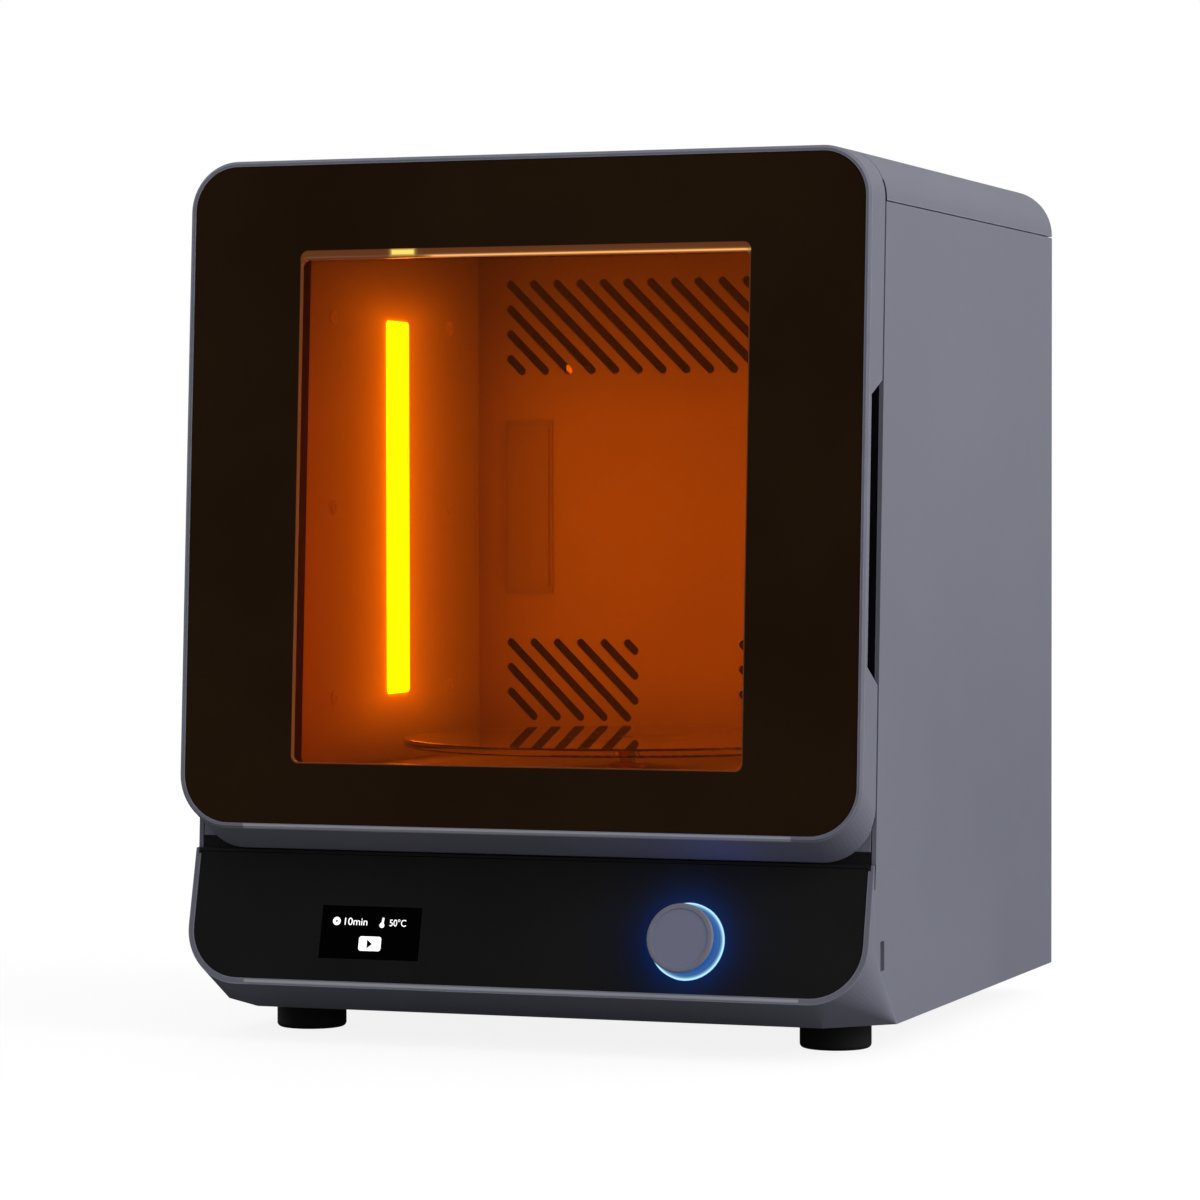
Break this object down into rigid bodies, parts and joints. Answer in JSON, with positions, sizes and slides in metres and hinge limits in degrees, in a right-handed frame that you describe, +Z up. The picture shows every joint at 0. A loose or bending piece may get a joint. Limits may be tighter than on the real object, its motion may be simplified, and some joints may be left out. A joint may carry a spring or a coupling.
{
  "type": "dental lab light curing unit",
  "caption": "Bench-top light curing cabinet with a leaning amber window door, lamp walls, warm air duct, clear turntable and push knob.",
  "frame": {"origin": "on the floor under the middle of the unit's bounding box", "axes": "+X to the right seen from the front, +Y to the back, +Z up"},
  "size_m": [0.32, 0.3368, 0.396],
  "materials": {
    "case_paint": "satin",
    "case_moulding": "satin",
    "rear_paint": "satin",
    "rubber": "matte",
    "black_gloss": "gloss",
    "amber_pane": "gloss",
    "dark_plastic": "matte",
    "display": "gloss",
    "circuit_board": "satin",
    "ring_light": "satin",
    "liner": "satin",
    "lamp_lens": "satin",
    "board_white": "satin",
    "sink_aluminium": "satin",
    "screw_steel": "satin",
    "motor_steel": "satin",
    "bush_brass": "satin",
    "clear_disc": "gloss",
    "knob_grey": "satin"
  },
  "bodies": {
    "cabinet": {"base_plate": "rear_paint", "rubber_feet": "rubber", "foot_screws": "screw_steel", "side_panel_left": "case_paint", "side_panel_right": "case_paint", "top_cover": "case_moulding", "rear_panel": "rear_paint", "case_screws": "screw_steel", "front_frame": "case_moulding", "control_panel": "black_gloss", "display_screen": "display", "control_board": "circuit_board", "light_ring": "ring_light", "encoder_body": "dark_plastic", "chamber_floor": "liner", "chamber_ceiling": "liner", "chamber_wall_left": "liner", "chamber_wall_right": "liner", "chamber_rear_wall": "liner", "probe_cover": "liner", "lamp_lens_left": "lamp_lens", "lamp_lens_right": "lamp_lens", "lamp_board_left": "board_white", "lamp_board_right": "board_white", "heat_sink_left": "sink_aluminium", "heat_sink_right": "sink_aluminium", "lamp_screws": "screw_steel", "air_duct": "dark_plastic", "blower_brackets": "screw_steel", "blower_motor": "dark_plastic", "heater": "sink_aluminium", "support_posts": "screw_steel", "power_supply": "sink_aluminium", "main_board": "circuit_board", "turntable_motor": "motor_steel", "turntable_bush": "bush_brass", "hinge_brackets": "screw_steel", "hinge_pins": "screw_steel", "strike_plates": "screw_steel", "door_sensor": "dark_plastic", "power_inlet": "dark_plastic", "switch_body": "dark_plastic", "exhaust_fan_frame": "dark_plastic", "side_port": "screw_steel"},
    "door": {"door_frame": "case_moulding", "door_glass": "black_gloss", "window_pane": "amber_pane", "inner_frame": "dark_plastic", "door_seal": "rubber", "hinge_knuckles": "case_moulding", "door_magnets": "screw_steel", "inner_screws": "screw_steel"},
    "turntable": {"turntable_spindle": "screw_steel", "turntable_disc": "clear_disc"},
    "knob_press": {"encoder_sleeve": "screw_steel"},
    "knob_dial": {"knob_shaft": "screw_steel", "knob": "knob_grey"},
    "blower": {"blower_rotor": "screw_steel"},
    "exhaust_fan": {"exhaust_rotor": "dark_plastic"},
    "power_rocker": {"rocker": "dark_plastic"}
  },
  "joints": [
    {"name": "door_swing", "type": "hinge", "parent": "cabinet", "child": "door", "pos_m": [-0.14925, -0.14744, 0.2457], "axis": [0, -0.0576, -0.9983], "range_deg": [0, 100]},
    {"name": "turntable_spin", "type": "hinge", "parent": "cabinet", "child": "turntable", "pos_m": [0, -0.00926, 0.12], "axis": [0, 0, 1], "continuous": true},
    {"name": "knob_push", "type": "slide", "parent": "cabinet", "child": "knob_press", "axis": [0, 0.9694, -0.2453], "range_m": [0, 0.0008], "stiffness_N_per_m": 900, "springref_m": -0.001},
    {"name": "knob_turn", "type": "hinge", "parent": "knob_press", "child": "knob_dial", "pos_m": [0.0778, -0.15959, 0.05253], "axis": [0, 0.9694, -0.2453], "continuous": true},
    {"name": "blower_spin", "type": "hinge", "parent": "cabinet", "child": "blower", "pos_m": [0, 0.13694, 0.296], "axis": [1, 0, 0], "continuous": true},
    {"name": "exhaust_spin", "type": "hinge", "parent": "cabinet", "child": "exhaust_fan", "pos_m": [0.09, 0.15294, 0.064], "axis": [0, 1, 0], "continuous": true},
    {"name": "power_switch", "type": "hinge", "parent": "cabinet", "child": "power_rocker", "pos_m": [-0.114, 0.16194, 0.046], "axis": [-1, 0, 0], "range_deg": [0, 18]}
  ]
}
